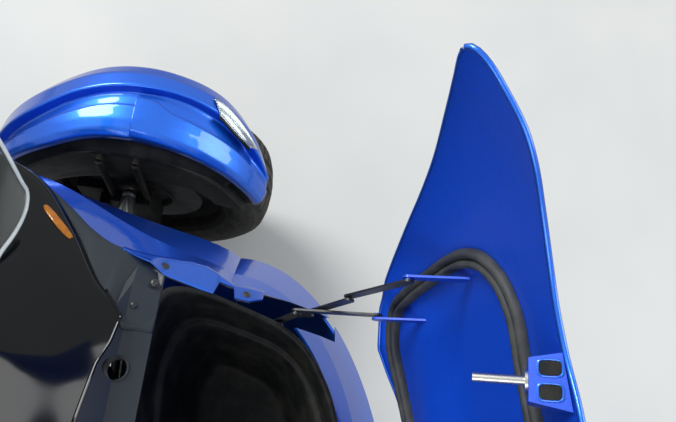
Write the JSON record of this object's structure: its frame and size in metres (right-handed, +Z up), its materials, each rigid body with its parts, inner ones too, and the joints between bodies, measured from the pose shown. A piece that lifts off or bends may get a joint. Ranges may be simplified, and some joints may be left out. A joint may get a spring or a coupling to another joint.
{
  "type": "motorized trike",
  "caption": "Motorized trike with steered front wheel pair, rear drive wheel, and a front storage bay whose lid stands open on multi-bar hinges.",
  "frame": {"origin": "on the floor under the middle of the outline, lid open", "axes": "+X to the machine's left, +Y to its rear, +Z up"},
  "size_m": [1.493, 2.7072, 1.2134],
  "materials": {
    "blue_paint": "metallic gloss",
    "black_plastic": "grained",
    "gloss_black": "gloss",
    "clear_plastic": "clear",
    "red_lens": "gloss",
    "frame_steel": "satin powder coat",
    "zinc": "plated",
    "cast_aluminium": "satin",
    "engine_mass": "cast",
    "tyre_rubber": "matt",
    "seal_rubber": "matt",
    "seat_cover": "grained"
  },
  "bodies": {
    "chassis": {"main_frame": "frame_steel", "engine_block": "engine_mass", "swingarm": "frame_steel", "rear_shock": "frame_steel", "rear_mudguard": "black_plastic", "suspension_arms": "frame_steel", "front_shocks": "frame_steel", "steering_rack": "cast_aluminium", "storage_tub": "black_plastic", "nose_panel": "blue_paint", "side_panel_left": "blue_paint", "side_panel_right": "blue_paint", "front_fascia": "black_plastic", "headlamps": "clear_plastic", "front_grille": "black_plastic", "rear_deck": "black_plastic", "cowl": "gloss_black", "windshield": "clear_plastic", "tub_hinge_brackets": "frame_steel", "dash": "black_plastic", "mirrors": "gloss_black", "tank_cover": "blue_paint", "rider_seat": "seat_cover", "passenger_seat": "seat_cover", "tail_panel": "blue_paint", "tail_lamp": "red_lens", "grab_handles": "black_plastic", "side_fairing_left": "black_plastic", "side_fairing_right": "black_plastic", "foot_rests": "black_plastic", "exhaust": "frame_steel"},
    "steering": {"handlebar": "frame_steel"},
    "left_knuckle": {"knuckle_left": "cast_aluminium", "front_guard_left": "blue_paint", "guard_liner_left": "black_plastic", "guard_lamp_left": "clear_plastic"},
    "right_knuckle": {"knuckle_right": "cast_aluminium", "front_guard_right": "blue_paint", "guard_liner_right": "black_plastic", "guard_lamp_right": "clear_plastic"},
    "left_tie_rod": {"tie_rod_left": "frame_steel"},
    "right_tie_rod": {"tie_rod_right": "frame_steel"},
    "front_wheel_left": {"front_tyre_left": "tyre_rubber", "front_rim_left": "cast_aluminium"},
    "front_wheel_right": {"front_tyre_right": "tyre_rubber", "front_rim_right": "cast_aluminium"},
    "rear_wheel": {"rear_tyre": "tyre_rubber", "rear_rim": "cast_aluminium"},
    "hinge_rocker": {"hinge_rocker_links": "frame_steel"},
    "hinge_carrier": {"hinge_carrier_links": "frame_steel"},
    "hinge_follower": {"hinge_follower_links": "frame_steel"},
    "hinge_stay": {"hinge_stay_links": "frame_steel"},
    "lid": {"lid_panel": "blue_paint", "lid_seal": "seal_rubber", "lid_hinge_tabs": "frame_steel", "latch_brackets": "blue_paint", "latch_pins": "zinc"}
  },
  "joints": [
    {"name": "handlebar_steer", "type": "hinge", "parent": "chassis", "child": "steering", "pos_m": [0, -0.5845, 0.52], "axis": [0, 0.5167, 0.8562], "range_deg": [-26, 26]},
    {"name": "knuckle_left_steer", "type": "hinge", "parent": "chassis", "child": "left_knuckle", "pos_m": [0.545, -0.7045, 0.284], "axis": [0, 0, 1], "range_deg": [-26, 26]},
    {"name": "knuckle_right_steer", "type": "hinge", "parent": "chassis", "child": "right_knuckle", "pos_m": [-0.545, -0.7045, 0.284], "axis": [0, 0, 1], "range_deg": [-26, 26]},
    {"name": "tie_rod_left_pivot", "type": "hinge", "parent": "left_knuckle", "child": "left_tie_rod", "pos_m": [0.545, -0.5945, 0.31], "axis": [0, 0, 1], "range_deg": [-26, 26]},
    {"name": "tie_rod_right_pivot", "type": "hinge", "parent": "right_knuckle", "child": "right_tie_rod", "pos_m": [-0.545, -0.5945, 0.31], "axis": [0, 0, 1], "range_deg": [-26, 26]},
    {"name": "front_wheel_left_spin", "type": "hinge", "parent": "left_knuckle", "child": "front_wheel_left", "pos_m": [0.654, -0.7045, 0.284], "axis": [1, 0, 0], "continuous": true},
    {"name": "front_wheel_right_spin", "type": "hinge", "parent": "right_knuckle", "child": "front_wheel_right", "pos_m": [-0.654, -0.7045, 0.284], "axis": [1, 0, 0], "continuous": true},
    {"name": "rear_wheel_spin", "type": "hinge", "parent": "chassis", "child": "rear_wheel", "pos_m": [0, 1.0225, 0.303], "axis": [1, 0, 0], "continuous": true},
    {"name": "hinge_rocker_pivot", "type": "hinge", "parent": "chassis", "child": "hinge_rocker", "pos_m": [0, -1.07722, 0.64126], "axis": [-1, 0, 0], "range_deg": [0, 162.16]},
    {"name": "hinge_carrier_pivot", "type": "hinge", "parent": "hinge_rocker", "child": "hinge_carrier", "pos_m": [0, -1.10998, 0.71137], "axis": [-1, 0, 0], "range_deg": [-168.16, 0]},
    {"name": "lid_pivot", "type": "hinge", "parent": "hinge_carrier", "child": "lid", "pos_m": [0, -1.19305, 0.73363], "axis": [-1, 0, 0], "range_deg": [0, 79]},
    {"name": "hinge_follower_pivot", "type": "hinge", "parent": "chassis", "child": "hinge_follower", "pos_m": [0, -1.04259, 0.62772], "axis": [-1, 0, 0], "range_deg": [0, 150.12]},
    {"name": "hinge_stay_pivot", "type": "hinge", "parent": "hinge_rocker", "child": "hinge_stay", "pos_m": [0, -1.14274, 0.78149], "axis": [-1, 0, 0], "range_deg": [-126.5, 0]}
  ],
  "couplings": [
    {"joint": "knuckle_left_steer", "follows": "handlebar_steer", "ratio": 1},
    {"joint": "knuckle_right_steer", "follows": "handlebar_steer", "ratio": 1},
    {"joint": "tie_rod_left_pivot", "follows": "handlebar_steer", "ratio": -1},
    {"joint": "tie_rod_right_pivot", "follows": "handlebar_steer", "ratio": -1},
    {"joint": "hinge_carrier_pivot", "follows": "hinge_rocker_pivot", "ratio": -1.037},
    {"joint": "lid_pivot", "follows": "hinge_rocker_pivot", "ratio": 0.48717},
    {"joint": "hinge_follower_pivot", "follows": "hinge_rocker_pivot", "ratio": 0.92573},
    {"joint": "hinge_stay_pivot", "follows": "hinge_rocker_pivot", "ratio": -0.78006}
  ]
}
